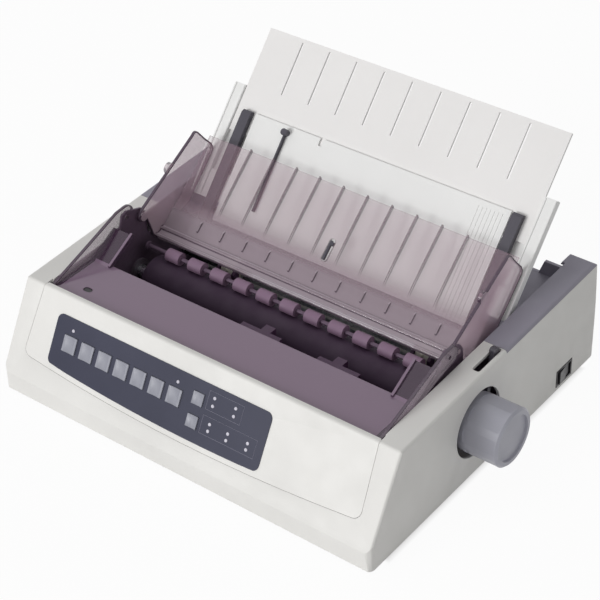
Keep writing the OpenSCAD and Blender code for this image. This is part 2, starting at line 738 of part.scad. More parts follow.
// The idler turns on a post of the base frame
module idler_pulley() {
    difference() {
        pulley(belt_x);
        translate([belt_x, belt_y, 0]) cylinder(h = belt_z + 50, r = 3 + run_fit, $fn = 32);
    }
}
module rear_block(x, w, h, depth) {
    span([x - w / 2 + seam, case_d - wall - depth, port_z + seam], [x + w / 2 - seam,
        case_d - wall - 1.5, port_z + h - seam]);
}
module power_inlet() {
    color(black_c) difference() {
        rear_block(inlet_x, inlet_w, inlet_h, 22);
        span([inlet_x - 11, case_d - 22, port_z + 5], [inlet_x + 11, case_d, port_z + 20]);
    }
    color(steel_c) for (p = [[-7, 10], [7, 10], [0, 15]])
        span([inlet_x + p[0] - 1, case_d - 23, port_z + p[1] - 2], [inlet_x + p[0] + 1, case_d - 8,
            port_z + p[1] + 2]);
}
module interface_connector() {
    color(steel_c) difference() {
        rear_block(port_x, port_w, port_h, 16);
        difference() {
            span([port_x - 27, case_d - 14, port_z + 4], [port_x + 27, case_d, port_z + 15]);
            span([port_x - 24, case_d - 15, port_z + 7.5], [port_x + 24, case_d - 6, port_z + 11.5]);
        }
    }
}
rocker_y = switch_d - 5;
rocker_h = switch_h - 5;
switch_mid = switch_z0 + switch_h / 2;
module switch_frame() {
    x1 = case_w / 2 + 0.4;
    color(black_c) difference() {
        span([case_w / 2 - 14, switch_y - switch_d / 2 + seam, switch_z0 + seam],
            [x1, switch_y + switch_d / 2 - seam, switch_z0 + switch_h - seam]);
        span([case_w / 2 - 10, switch_y - rocker_y / 2 - 0.4, switch_mid - rocker_h / 2 - 0.4],
            [x1 + 1, switch_y + rocker_y / 2 + 0.4, switch_mid + rocker_h / 2 + 0.4]);
        translate([case_w / 2 - 4, switch_y, switch_z0 - 1]) cylinder(h = switch_h + 2,
            r = 1.5 + run_fit, $fn = 32);
    }
}
module power_rocker() {
    x0 = case_w / 2 - 4;
    color([0.16, 0.16, 0.18]) {
        translate([0, 0, switch_mid - rocker_h / 2]) linear_extrude(rocker_h)
            polygon([[x0 - 1.5, switch_y - 4], [x0 + 2.2, switch_y - rocker_y / 2 + 1.1],
                [x0 + 6, switch_y - rocker_y / 2 + 1.4], [x0 + 4.6, switch_y],
                [x0 + 3.2, switch_y + rocker_y / 2 - 1.4], [x0 + 0.5, switch_y + rocker_y / 2 - 1.1],
                [x0 - 1.5, switch_y + 4]]);
        translate([x0, switch_y, switch_z0 + 1]) cylinder(h = switch_h - 2, r = 1.5, $fn = 32);
    }
}
module paper_lever() {
    tip = top_z(slot_y) + 4;
    color(black_c) {
        rod_x(frame_in + 0.1, slot_x + 2, lever_y, lever_z, 3);
        translate([0, lever_y, lever_z]) rotate([lever_rest, 0, 0]) translate([0, -lever_y, -lever_z]) {
            rod_x(slot_x - 2, slot_x + 2, lever_y, lever_z, 6);
            span([slot_x - 2, lever_y - 2.5, lever_z], [slot_x + 2, lever_y + 2.5, tip]);
            along_x(slot_x - 2.6, slot_x + 2.6) translate([lever_y, tip]) polygon(rounded(8, 5, 2.2, 5));
        }
    }
}
lever_rest = -14;

// ---- Smoke cover and separator ----
module access_cover() {
    low = deck_z + 0.3;
    up = low + smoke_t;
    profile = [[strip_y, low], [strip_y, low + 3], [92, 110], [cover_pin_y - 9, 124]];
    arm = [[strip_end - 3, low], [strip_end - 3, up], [arm_end, up + arm_rise], [arm_end, low + arm_rise],
        [strip_end + 1, up], [strip_end + 1, low]];
    color(smoke_c) {
        difference() {
            span([-cheek_out, strip_y, low], [cheek_out, strip_end + 1, up]);
            // Oval hole near the left end of the strip
            translate([-mark_x, mark_y, low - 1]) linear_extrude(10) polygon(rounded(9, 6, 2.9));
        }
        mirrored() {
            difference() {
                // Cheek with a round end about the hinge axis
                along_x(cheek_in, cheek_out) polygon(concat(profile,
                    arc([cover_pin_y + 3, cover_pin_z], 8.8, 95, -60, 8),
                    [[124, 103], [strip_end + 1, up], [strip_end + 1, low]]));
                rod_x(arm_in, cheek_out + 1, cover_pin_y, cover_pin_z, pin_r - 0.6, 32);
            }
            rod_x(frame_in, cheek_in + 0.3, cover_pin_y, cover_pin_z, pin_r, 32);
            // Flat arm that rises inside the cheek, with a lip along its inner edge
            along_x(arm_in, cheek_in + eps) polygon(arm);
            along_x(arm_in, arm_in + smoke_t)
                polygon([[strip_end - 3, low + 1], [strip_end - 3, up + arm_lip],
                [arm_end, up + arm_lip + arm_rise], [arm_end, low + arm_rise + 1]]);
        }
    }
}
arm_lip = 2;
mark_x = 145;
mark_y = strip_y + 14;
sep_t = 2.2;
ear_peak = [237, 157.5];
module paper_separator() {
    half = ear_in + eps;
    color(smoke_c) difference() {
        union() {
            // Plate between the ears
            on_separator() span([-half, 0, 0], [half, sep_t, sep_len]);
            // Two beads along the lower edge, joined by a lip
            rod_x(-half, half, sep_y, sep_z, 3, 32);
            rod_x(-half, half, sep_y - 9, sep_z - 2.5, 2.5, 32);
            along_x(-half, half) polygon([[sep_y, sep_z + 1], [sep_y, sep_z - 1.2],
                [sep_y - 9, sep_z - 3.7], [sep_y - 9, sep_z - 1.5]]);
            // Ribs, tallest at the top edge
            on_separator() for (i = [0:rib_count - 1]) sep_rib((i - (rib_count - 1) / 2) * rib_pitch);
            on_separator() for (i = [0:rib_count]) sep_tick((i - rib_count / 2) * rib_pitch);
            mirrored() {
                along_x(ear_in, ear_out) polygon(ear_outline);
                rod_x(ear_in, ear_out + 0.8, 200.7, 138, 5.5, 32);
                rod_x(ear_in - 1.5, ear_in + eps, sep_pin_y, sep_pin_z, 5, 32);
                rod_x(ear_in, frame_out + 0.3, sep_pin_y, sep_pin_z, pin_r, 32);
            }
        }
        // Slot for a finger in the middle
        on_separator() translate([0, -10, 40]) rotate([-90, 0, 0]) linear_extrude(20)
            polygon(rounded(6, 22, 2.9));
    }
}
ear_outline = concat([[sep_pin_y - 3, sep_pin_z + 5.5]], [[ear_peak[0] - 3, ear_peak[1] - 1.6]],
    arc(ear_peak + [1, -4], 4.5, 120, 40, 4), [[250, 145.5], [259, 135.5]], arc([256, 130], 5, 40, -30,
        4),
    [[224, 91], [208, 86], [sep_y + 2, sep_z - 3], [sep_y - 9, sep_z - 5], [sep_y - 12, sep_z - 1]],
    [[sep_pin_y + 4, sep_pin_z - 5]], arc([sep_pin_y, sep_pin_z], 6, -60, -215, 8));
// Rib profile: z up the slope, y outwards from the plate's front face
module sep_rib(x) {
    along_x(x - 0.8, x + 0.8) polygon(concat([[0.3, sep_len]], [[-rib_h, sep_len + 1.5]],
        [for (i = [0:8]) [-rib_h * sqrt(1 - pow(i / 8, 2)) , sep_len - 12 - i * (sep_len - 40) / 8]],
            [[0.3, 27]]));
}
module sep_tick(x) {
    along_x(x - 0.7, x + 0.7) polygon([[0.3, 8], [-1.6, 9], [-1.6, 17], [0.3, 20]]);
}

// ---- Sheet support ----
module support_layer(half, layer, v0, v1) { span([-half, layer[0], v0], [half, layer[1], v1]); }
panel_half = frame_out + 0.9;
ext_half = panel_half - panel_rim - 0.4;
module support_panel() {
    rim_in = ext_half + 0.4;
    top_v = panel_v + panel_len;
    color(sheet_c) on_support() {
        difference() {
            support_layer(panel_half, layer_panel, panel_v, top_v);
            for (x = [-120:60:120]) translate([x, 0, 100]) rotate([90, 0, 0]) translate([0, 0, -20])
                linear_extrude(40) polygon(rounded(34, 8, 3.9));
        }
        mirrored() span([rim_in, layer_panel[1] - eps, panel_v], [panel_half, 0, top_v]);
        span([-rim_in - eps, layer_panel[1] - eps, panel_v], [rim_in + eps, layer_rest[0], spacer_top]);
        // Stiffening ribs behind the panel
        for (x = [-150:50:150]) span([x - 1, layer_panel[0] - 2, panel_v + 4],
            [x + 1, layer_panel[0] + eps, top_v - 8]);
    }
}
module support_arms() {
    out = arm_span / 2;
    color(black_c) {
        difference() {
            on_support() mirrored() along_x(out - arm_w, out)
                polygon(concat([[layer_rest[0], rest_top_v], [layer_rest[0], panel_v - 6]],
                arc([sup_rod_w, 0], 7, 160, 360, 10), [[arm_front_w, 20],
                    [arm_front_w, rest_top_v - 3], [arm_front_w - 2, rest_top_v]]));
            rod_x(-out - 1, out + 1, sup_rod_y, sup_rod_z, sup_rod_r - 0.5);
        }
        rod_x(-frame_out - 0.3, frame_out + 0.3, sup_rod_y, sup_rod_z, sup_rod_r);
    }
}
rest_half = arm_span / 2 - arm_w - 3;
module sheet_rest() {
    color(sheet_c) on_support() difference() {
        support_layer(rest_half, layer_rest, rest_low_v, rest_top_v);
        // Fine grooves near the right side and the step in the upper edge
        for (i = [0:6]) translate([6 + i * 4 - rest_half - 0.6, layer_rest[1] - 0.5, rest_low_v - 1])
            cube([1.2, 2, rest_top_v - rest_low_v - 4]);
        span([rest_notch - 2, -5, rest_top_v - 7], [rest_notch + 2, 5, rest_top_v + 5]);
    }
}
rest_notch = 62;
module support_extension() {
    color(shell_c) on_support() difference() {
        support_layer(ext_half, layer_ext, ext_bottom_v, ext_bottom_v + ext_len);
        for (i = [0:slit_count - 1]) translate([(i - (slit_count - 1) / 2) * slit_pitch - slit_w / 2,
            -10, slit_v])
            cube([slit_w, 20, slit_len]);
    }
}
slit_v = 146;
slit_len = 51.5;
guide_x = 99;
module sheet_guide() {
    color(black_c) on_support() {
        span([guide_x - 0.6, layer_rest[1] + 0.2, panel_v + 4], [guide_x + 0.6, layer_rest[1] + 4.2,
            rest_top_v - 4]);
        translate([guide_x, layer_rest[1] + 0.2, rest_top_v - 7]) rotate([-90, 0, 0])
            cylinder(h = 6.5, r = 3.2, $fn = 32);
    }
}

// ---- Platen and paper drive ----
module platen_roller() {
    color(black_c) difference() {
        rod_x(-platen_len / 2, platen_len / 2, platen_y, platen_z, platen_r, 96);
        rod_x(-big, big, platen_y, platen_z, shaft_r + 0.02);
    }
}
module platen_shaft() { color(steel_c) rod_x(gear_x - gear_w - 1, case_w / 2 + 14, platen_y, platen_z,
    shaft_r); }
module platen_gear() {
    color(sheet_c) translate([0, platen_y, platen_z]) gear(platen_teeth, gear_x - gear_w, gear_w,
        shaft_r + 0.02, idler_a);
}
knob_start = case_w / 2 - wall - 2;
module platen_knob() {
    face = case_w / 2 + knob_reach;
    len = face - knob_start;
    apothem = knob_r - 0.9;
    color(knob_c) translate([knob_start, platen_y, platen_z]) rotate([0, 90, 0]) difference() {
        intersection() {
            rotate_extrude($fn = 96) polygon([[0, 0], [knob_r - 0.5, 0], [knob_r, 8],
                [knob_r, len - 2], [knob_r - 2, len],
                [knob_r - 5.5, len], [knob_r - 6, len - 2], [0, len - 2]]);
            union() {
                rotate([0, 0, 12]) linear_extrude(len - 2) circle(r = apothem / cos(180 / 8) , $fn = 8);
                translate([0, 0, -1]) cylinder(h = 7, r = knob_r + 1, $fn = 96);
                translate([0, 0, len - 3]) cylinder(h = 5, r = knob_r + 1, $fn = 96);
            }
        }
        translate([0, 0, -1]) cylinder(h = 1 + case_w / 2 + 14.5 - knob_start, r = shaft_r + 0.02,
            $fn = fine);
    }
}
module idler_gear() {
    color(sheet_c) {
        translate([0, idler_y, idler_z]) gear(idler_teeth, gear_x - gear_w, gear_w, 2.5,
            idler_a + 180 + 180 / idler_teeth);
        rod_x(gear_x - gear_w, -frame_in - 0.1, idler_y, idler_z, 3);
    }
}
module feed_pinion() {
    mesh = idler_a + 180 + 180 / idler_teeth;
    step = 360 / idler_teeth;
    off = (pinion_a - mesh) / step;
    phase = pinion_a + 180 + (off - floor(off) - 0.5) * 360 / pinion_teeth;
    color(steel_c) {
        translate([0, pinion_y, pinion_z]) gear(pinion_teeth, gear_x - gear_w, gear_w, 1.5, phase);
        rod_x(gear_x - gear_w, -frame_in, pinion_y, pinion_z, 2);
    }
}
module tractor_shaft() {
    mesh = idler_a + 180 + 180 / idler_teeth;
    step = 360 / idler_teeth;
    off = (tractor_a - mesh) / step;
    phase = tractor_a + 180 + (off - floor(off) - 0.5) * 360 / tractor_teeth;
    color(steel_c) {
        translate([0, tractor_y, tractor_z]) gear(tractor_teeth, gear_x - gear_w, gear_w, 2, phase);
        rod_x(gear_x - gear_w, -frame_in + 3, tractor_y, tractor_z, journal_r);
        rod_x(frame_in - 3, frame_out + 0.5, tractor_y, tractor_z, journal_r);
        span([3 - frame_in - eps, tractor_y - 3, tractor_z - 3], [frame_in - 3 + eps, tractor_y + 3,
            tractor_z + 3]);
    }
}
tractor_x = 108;
hub_r = 6.5;
module tractor_body(x) {
    color(black_c) translate([x, 0, 0]) {
        difference() {
            for (s = [-1, 1]) translate([s * 9, 0, 0]) along_x(-1.5, 1.5)
                polygon([[tractor_y - 14, tractor_z - 10], [tractor_y - 14, tractor_z + 6],
                    [tractor_y - 6, tractor_z + 11.5],
                    [tractor_rod_y + 8, tractor_z + 11.5], [tractor_rod_y + 8, tractor_z - 10]]);
            rod_x(-20, 20, tractor_y, tractor_z, hub_r + run_fit);
            rod_x(-20, 20, tractor_rod_y, tractor_z, tractor_rod_r + run_fit);
        }
        span([-8, tractor_y + 17, tractor_z - 10], [8, tractor_rod_y - 5, tractor_z - 8]);
        span([-8, tractor_rod_y + 5, tractor_z - 6], [8, tractor_rod_y + 8, tractor_z + 11.5]);
    }
}
module sprocket(x) {
    color(sheet_c) translate([x, tractor_y, tractor_z]) rotate([0, 90, 0]) difference() {
        union() {
            translate([0, 0, -7]) cylinder(h = 14, r = 12.1, $fn = fine);
            translate([0, 0, -10.4]) cylinder(h = 20.8, r = hub_r, $fn = fine);
            for (i = [0:5]) rotate([0, 0, i * 60]) translate([11, 0, 0]) rotate([0, 90, 0])
                cylinder(h = 3.4, r1 = 2, r2 = 1.2, $fn = 24);
        }
        translate([-3.1, -3.1, -20]) cube([6.2, 6.2, 40]);
    }
}
module left_tractor() { tractor_body(-tractor_x); }
module right_tractor() { tractor_body(tractor_x); }
module left_sprocket() { sprocket(-tractor_x); }
module right_sprocket() { sprocket(tractor_x); }
roller_y = platen_y + 6.5;
roller_r = 6;
roller_w = 15;
roller_z = platen_z + sqrt(pow(platen_r + roller_r + 0.4, 2) - pow(roller_y - platen_y, 2));
bail_a = atan2(bail_z - roller_z, bail_y - roller_y);
module paper_bail() {
    color(steel_c) {
        rod_x(-bail_in - 3, bail_in + 3, roller_y, roller_z, 2);
        mirrored() {
            // Arm with round ends at the pivot and at the rod
            along_x(bail_in, bail_in + 2.5)
                polygon(concat(arc([bail_y, bail_z], 4, bail_a - 90, bail_a + 90, 8),
                arc([roller_y, roller_z], 4, bail_a + 90, bail_a + 270, 8)));
            rod_x(bail_in + 1, frame_in + 1.9, bail_y, bail_z, pin_r, 32);
        }
    }
}
module bail_rollers() {
    color(sheet_c) for (i = [0:bail_count - 1]) translate([(i - (bail_count - 1) / 2) * rib_pitch, 0, 0])
        difference() {
            rod_x(-roller_w / 2, roller_w / 2, roller_y, roller_z, roller_r);
            rod_x(-roller_w, roller_w, roller_y, roller_z, 2.02);
        }
}

// ---- Print carriage ----
head_w = 40;
module print_carriage() {
    color(black_c) translate([carriage_x, 0, 0]) difference() {
        union() {
            span([-28, rail_y - 13, rail_z - 8], [28, rail_y + 12, plate_z]);
            span([-28, rail_front - 4, plate_z], [28, rail_y + 14, plate_z + 4]);
            span([-14, belt_y + 4.5, belt_z - 1], [14, rail_y - 13 + eps, belt_z + belt_h + 1]);
        }
        rod_x(-50, 50, rail_y, rail_z, rail_r + run_fit);
        span([-30, belt_y + belt_r - 0.5, belt_z - 0.4], [30, belt_y + belt_r + belt_t + 0.5,
            belt_z + belt_h + 0.4]);
    }
}
nose_y = platen_y - platen_r - 1.4;
head_z = plate_z + 4;
module print_head() {
    color([0.55, 0.56, 0.58]) translate([carriage_x, 0, 0]) {
        difference() {
            span([-head_w / 2, 78, head_z], [head_w / 2, 118, head_z + 21]);
            for (i = [0:5]) span([-17.5 + i * 6, 76, head_z + 8], [-14.5 + i * 6, 112, head_z + 30]);
        }
        along_y(118 - eps, nose_y - 6) polygon([[-12, head_z], [12, head_z], [12, head_z + 18],
            [-12, head_z + 18]]);
        along_y(nose_y - 6 - eps, nose_y) polygon([[-4, platen_z - 7], [4, platen_z - 7],
            [4, platen_z + 7], [-4, platen_z + 7]]);
    }
}
cart_z = head_z + 22;
cart_t = 12;
cart_y = [74, 122];
cart_half = cartridge_w / 2;
horn_x = 38;
module ribbon_cartridge() {
    color(black_c) translate([carriage_x, 0, 0]) {
        difference() {
            span([-cart_half, cart_y[0], cart_z], [cart_half, cart_y[1], cart_z + cart_t]);
            span([-head_w / 2, 96, cart_z - 1], [head_w / 2, cart_y[1] + 8, cart_z + 20]);
            translate([ribbon_knob_x, ribbon_knob_y, cart_z + 6]) cylinder(h = 20, r = 3 + run_fit,
                $fn = 32);
            // Shallow grip lines on the lid
            for (x = [-50:6:-32]) span([x, 80, cart_z + 11.4], [x + 2, 112, cart_z + 14]);
        }
        for (s = [-1, 1]) span([s * horn_x - 5, cart_y[1] - 6, platen_z - 8],
            [s * horn_x + 5, nose_y + 0.1, cart_z + cart_t]);
    }
}
ribbon_knob_x = 42;
ribbon_knob_y = 92;
module ribbon_knob() {
    color(slate_c) translate([carriage_x + ribbon_knob_x, ribbon_knob_y, cart_z]) {
        translate([0, 0, 7]) cylinder(h = 6, r = 3, $fn = 32);
        difference() {
            translate([0, 0, 12.3]) cylinder(h = 5, r = 8, $fn = fine);
            for (i = [0:11]) rotate([0, 0, i * 30]) translate([8.4, 0, 12]) cylinder(h = 8, r = 1,
                $fn = 16);
        }
    }
}
module ribbon() {
    color([0.08, 0.08, 0.10]) translate([carriage_x, 0, 0])
        span([-horn_x - 4, nose_y + 0.15, platen_z - 6.5], [horn_x + 4, nose_y + 0.6, platen_z + 6.5]);
}

module place() { translate(shift) children(); }
place() outer_case();
place() front_panel();
place() panel_overlay();
place() indicator_lenses();
place() control_board();
place() key(0);  // key_1
place() key(1);  // key_2
place() key(2);  // key_3
place() key(3);  // key_4
place() key(4);  // key_5
place() key(5);  // key_6
place() key(6);  // key_7
place() key(7);  // mode_key
place() key(8);  // font_key
place() rear_cover();
place() base_pan();
place() feet();
place() case_screws();
place() base_frame();
place() side_frames();
place() shaft_bushes();
place() guide_shafts();
place() guide_rail();
place() paper_chute();
place() main_board();
place() power_supply();
place() motors();
place() carriage_belt();
place() power_inlet();
place() interface_connector();
place() switch_frame();
place() power_rocker();
place() paper_lever();
place() access_cover();
place() paper_separator();
place() support_panel();
place() support_arms();
place() sheet_rest();
place() support_extension();
place() sheet_guide();
place() platen_roller();
place() platen_shaft();
place() platen_gear();
place() platen_knob();
place() idler_gear();
place() feed_pinion();
place() tractor_shaft();
place() left_tractor();
place() right_tractor();
place() left_sprocket();
place() right_sprocket();
place() paper_bail();
place() bail_rollers();
place() print_carriage();
place() print_head();
place() ribbon_cartridge();
place() ribbon();
place() ribbon_knob();
place() drive_pulley();
place() idler_pulley();
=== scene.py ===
# %% [markdown]
# # A dot matrix printer
#
# The printer is an office machine of moulded plastic round a steel frame.
# Its solids come from the CAD model, which stays exactly where it is. This
# lesson lights it, gives each part the finish that it has on the real
# machine, and adds the small pieces that a solid model leaves out.

# %% Load the solid model
import bpy, math
from mathutils import Matrix, Vector


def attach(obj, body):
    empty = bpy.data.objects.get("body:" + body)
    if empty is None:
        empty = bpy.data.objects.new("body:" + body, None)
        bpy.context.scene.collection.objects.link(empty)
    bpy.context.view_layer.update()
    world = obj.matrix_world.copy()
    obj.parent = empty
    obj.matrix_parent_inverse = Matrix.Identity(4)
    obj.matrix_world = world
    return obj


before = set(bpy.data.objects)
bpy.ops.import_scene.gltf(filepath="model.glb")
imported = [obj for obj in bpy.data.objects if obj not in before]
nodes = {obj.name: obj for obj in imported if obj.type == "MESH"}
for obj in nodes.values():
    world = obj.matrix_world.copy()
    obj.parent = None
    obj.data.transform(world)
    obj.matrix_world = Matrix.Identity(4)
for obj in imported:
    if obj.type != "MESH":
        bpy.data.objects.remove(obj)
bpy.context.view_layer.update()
for thing in bpy.context.selected_objects:
    thing.select_set(False)

# %% [markdown]
# ## Places on the case
#
# A printer is drawn in millimetres from the middle of its case's front edge.
# Blender works in metres, and the model's origin lies under the middle of
# the whole printer with its knob, 17 mm to the right. One function turns the
# first into the second, so the places below can be read off the case.

# %% From case millimetres to metres
case_middle_x = -17
case_front_y = -172.5

def on_case(x, y, z):
    """A place across, behind and above the case's front edge."""
    return Vector((x + case_middle_x, y + case_front_y, z)) / 1000

print("middle of the front edge:", tuple(round(v, 4) for v in on_case(0, 0, 0)))

# %% [markdown]
# ## The camera
#
# The picture looks down on the printer from its right front corner. The
# camera's place was worked out from the case's edges: it stands about 1.7 m
# away, 38 degrees to the right and 37 degrees up, and leans a little. A long
# lens gives the gentle perspective of a catalogue picture.

# %% Put the camera where the picture was taken
camera_data = bpy.data.cameras.new("picture_camera")
camera_data.lens = 113.8
camera_data.clip_end = 20
camera = bpy.data.objects.new("picture_camera", camera_data)
bpy.context.scene.collection.objects.link(camera)
camera_place = Vector((0.8035, -1.0346, 1.0638))
looked_at = Vector((-0.033, 0.0209, 0.060))
turn = (looked_at - camera_place).to_track_quat("-Z", "Y").to_matrix()
lean = Matrix.Rotation(math.radians(-1.7), 3, "Z")
camera.matrix_world = Matrix.Translation(camera_place) @ (turn @ lean).to_4x4()
bpy.context.scene.camera = camera
print("camera stands", round((camera_place - looked_at).length, 3), "m away")

# %% [markdown]
# ## Building with nodes
#
# Every finish below is a small network of nodes. Making each node, setting
# its sockets and drawing its links by hand takes many lines, so a few
# helpers do that. A value given to them may be a plain number, a colour or
# the output of another node, and they link or set it as it needs.

# %% Helpers for nodes
def node_of(tree, kind, **values):
    """Adds a node and sets what it is told to."""
    made = tree.nodes.new(kind)
    for key, value in values.items():
        setattr(made, key, value)
    return made

def feed(tree, socket, value):
    """Gives a socket a number, a colour or another node's output."""
    if isinstance(value, (int, float)):
        socket.default_value = value
    elif isinstance(value, (tuple, list)):
        socket.default_value = (*value, 1)
    else:
        tree.links.new(value, socket)

def number(tree, kind, first, second=0.0):
    """One step of arithmetic on two numbers."""
    made = node_of(tree, "ShaderNodeMath", operation=kind)
    feed(tree, made.inputs[0], first)
    feed(tree, made.inputs[1], second)
    return made.outputs[0]

def spread(tree, value, low, high, start=0.35, end=0.65):
    """Stretches a value's range from start to end over low to high. Left as
    they are, start and end hold the middle range, where most of a noise lies."""
    scale = node_of(tree, "ShaderNodeMapRange")
    feed(tree, scale.inputs["Value"], value)
    feed(tree, scale.inputs["From Min"], start)
    feed(tree, scale.inputs["From Max"], end)
    feed(tree, scale.inputs["To Min"], low)
    feed(tree, scale.inputs["To Max"], high)
    return scale.outputs["Result"]

def mixed(tree, share, first, second):
    """A colour that goes from first to second as share goes from 0 to 1."""
    mix = node_of(tree, "ShaderNodeMix", data_type="RGBA")
    feed(tree, mix.inputs["Factor"], share)
    feed(tree, mix.inputs[6], first)
    feed(tree, mix.inputs[7], second)
    return mix.outputs[2]

def one_or_other(tree, share, first, second):
    """The same for two shaders."""
    mix = node_of(tree, "ShaderNodeMixShader")
    for socket, source in zip(mix.inputs, (share, first, second)):
        feed(tree, socket, source)
    return mix.outputs["Shader"]

def new_finish(name):
    """A new material, its nodes and its main shader."""
    made = bpy.data.materials.new(name)
    made.use_nodes = True
    return made, made.node_tree, made.node_tree.nodes["Principled BSDF"]

print("helpers that make nodes are ready")

# %% [markdown]
# ## The floor
#
# A catalogue picture has no visible floor, only even white. A floor lit
# strongly enough for that would also light the case from below, so the white
# is only what the camera sees, straight or through gloss and clear plastic.
# To all other light the floor is pale paper, and under the printer it stays
# paper for the camera too, so that no white shines up through the vents.

# %% A floor that the camera sees as white
def white_for_camera(tree, share):
    """share for what the camera sees, 0 for all other light."""
    path = node_of(tree, "ShaderNodeLightPath").outputs
    seen = number(tree, "MAXIMUM", path["Is Camera Ray"], path["Is Glossy Ray"])
    seen = number(tree, "MAXIMUM", seen, path["Is Transmission Ray"])
    return number(tree, "MULTIPLY", seen, share)

bpy.ops.mesh.primitive_plane_add(size=12, location=(0, 0, 0))
floor = bpy.context.object
floor.name = "studio_floor"
floor.select_set(False)

half_footprint = (0.190, 0.155)
paper_white = (0.86, 0.86, 0.86, 1)
floor_finish, tree, paper = new_finish("pale_floor")
paper.inputs["Base Color"].default_value = paper_white
paper.inputs["Roughness"].default_value = 0.9
place = node_of(tree, "ShaderNodeTexCoord")
point = node_of(tree, "ShaderNodeSeparateXYZ")
tree.links.new(place.outputs["Object"], point.inputs[0])
away = [number(tree, "ABSOLUTE", number(tree, "MULTIPLY", point.outputs[axis], 1 / half))
        for axis, half in zip("XY", half_footprint)]
outside = spread(tree, number(tree, "MAXIMUM", *away), 0, 1, 0.90, 0.98)
seen_white = number(tree, "MULTIPLY", white_for_camera(tree, 0.95), outside)
glow = node_of(tree, "ShaderNodeEmission")
surface = one_or_other(tree, seen_white, paper.outputs["BSDF"], glow.outputs["Emission"])
tree.links.new(surface, tree.nodes["Material Output"].inputs["Surface"])
floor.data.materials.append(floor_finish)
print("floor:", floor.name, "with", len(tree.nodes), "nodes")

# %% [markdown]
# ## The room and its lamps
#
# The front of the case is the brightest face, the top a little less, and the
# right side lies in soft shade. One large lamp in front and to the left does
# that. A weaker one above fills the inside, and a pale room lifts the rest.
# The camera sees the room as white, like the floor, and doesn't see lamps.

# %% A pale room
room = bpy.data.worlds.new("pale_room")
bpy.context.scene.world = room
room.use_nodes = True
tree = room.node_tree
sky = tree.nodes["Background"]
sky.inputs["Color"].default_value = (1, 1, 1, 1)
sky.inputs["Strength"].default_value = 0.38
white = node_of(tree, "ShaderNodeBackground")
white.inputs["Color"].default_value = (1, 1, 1, 1)
surface = one_or_other(tree, white_for_camera(tree, 1.0), sky.outputs["Background"],
                       white.outputs["Background"])
tree.links.new(surface, tree.nodes["World Output"].inputs["Surface"])
bpy.context.scene.view_settings.view_transform = "Standard"
print("room light:", round(sky.inputs["Strength"].default_value, 2))

# %% Two round lamps
def soft_lamp(name, place, aim, size, watts):
    lamp_data = bpy.data.lights.new(name, "AREA")
    lamp_data.shape = "DISK"
    lamp_data.size = size
    lamp_data.energy = watts
    lamp = bpy.data.objects.new(name, lamp_data)
    bpy.context.scene.collection.objects.link(lamp)
    lamp.location = place
    lamp.rotation_euler = (Vector(aim) - Vector(place)).to_track_quat("-Z", "Y").to_euler()
    lamp.visible_camera = False
    print(name, "of", watts, "W")

soft_lamp("front_lamp", (-1.5, -4.6, 1.7), (0, 0, 0.08), 2.3, 127)
soft_lamp("top_lamp", (-0.5, 0.2, 2.6), (0, 0, 0.05), 1.6, 5)

# %% [markdown]
# ## Softer edges on the mouldings
#
# A moulded part has no knife edges: each one is rounded by half a millimetre
# or more, and that is where the light catches. The solids' triangles are
# welded, flat ones are joined, and a Bevel modifier rounds what is left.

# %% Round the mouldings' edges
edge_radius = 0.0006

def soften(*names):
    for name in names:
        piece = nodes[name]
        weld = piece.modifiers.new("weld", "WELD")
        weld.merge_threshold = 0.00001
        flat = piece.modifiers.new("flat", "DECIMATE")
        flat.decimate_type = "DISSOLVE"
        flat.angle_limit = math.radians(0.5)
        edge = piece.modifiers.new("edge", "BEVEL")
        edge.width = edge_radius
        edge.segments = 2
        edge.limit_method = "ANGLE"
        edge.angle_limit = math.radians(30)
        edge.harden_normals = True
        edge.use_clamp_overlap = True
    print("rounded by", edge_radius * 1000, "mm:", len(names))

keys = ["key_%d" % i for i in range(1, 8)] + ["mode_key", "font_key"]
soften("outer_case", "front_panel", "rear_cover")
soften(*keys)

# %% [markdown]
# ## Moulded plastic
#
# Most of the printer is injection moulded. Its surface has a fine spark
# texture of about half a millimetre, its colour drifts a little over a large
# wall, and it is less rough where hands have polished it. One function makes
# every plastic: noise on Object coordinates drives colour, roughness and
# bump, each at its real scale.

# %% A maker of moulded plastics
spark_depth = 0.00004

def noise(tree, scale, detail=4):
    """Noise on Object coordinates, at so many grains to the metre."""
    place = node_of(tree, "ShaderNodeTexCoord")
    grain = node_of(tree, "ShaderNodeTexNoise")
    grain.inputs["Scale"].default_value = scale
    grain.inputs["Detail"].default_value = detail
    tree.links.new(place.outputs["Object"], grain.inputs["Vector"])
    return grain.outputs["Fac"]

def grain_bump(tree, height, strength, depth):
    bump = node_of(tree, "ShaderNodeBump")
    bump.inputs["Strength"].default_value = strength
    bump.inputs["Distance"].default_value = depth
    tree.links.new(height, bump.inputs["Height"])
    return bump.outputs["Normal"]

def drifting(tree, scale, first, second):
    """A colour that drifts between two over the surface."""
    return mixed(tree, spread(tree, noise(tree, scale), 0, 1), first, second)

def moulded(name, colour, rough=0.5, grain=1600, strength=0.35, drift=0.04):
    made, tree, shader = new_finish(name)
    darker = [c * (1 - drift) for c in colour]
    lighter = [min(1, c * (1 + drift)) for c in colour]
    polish = spread(tree, noise(tree, 60), rough - 0.06, rough + 0.06)
    spark = grain_bump(tree, noise(tree, grain, 2), strength, spark_depth)
    tree.links.new(drifting(tree, 9, darker, lighter), shader.inputs["Base Color"])
    tree.links.new(polish, shader.inputs["Roughness"])
    tree.links.new(spark, shader.inputs["Normal"])
    return made

def wear(*names, finish):
    """Gives solid nodes a finish."""
    for name in names:
        slots = nodes[name].data.materials
        slots.clear()
        slots.append(finish)

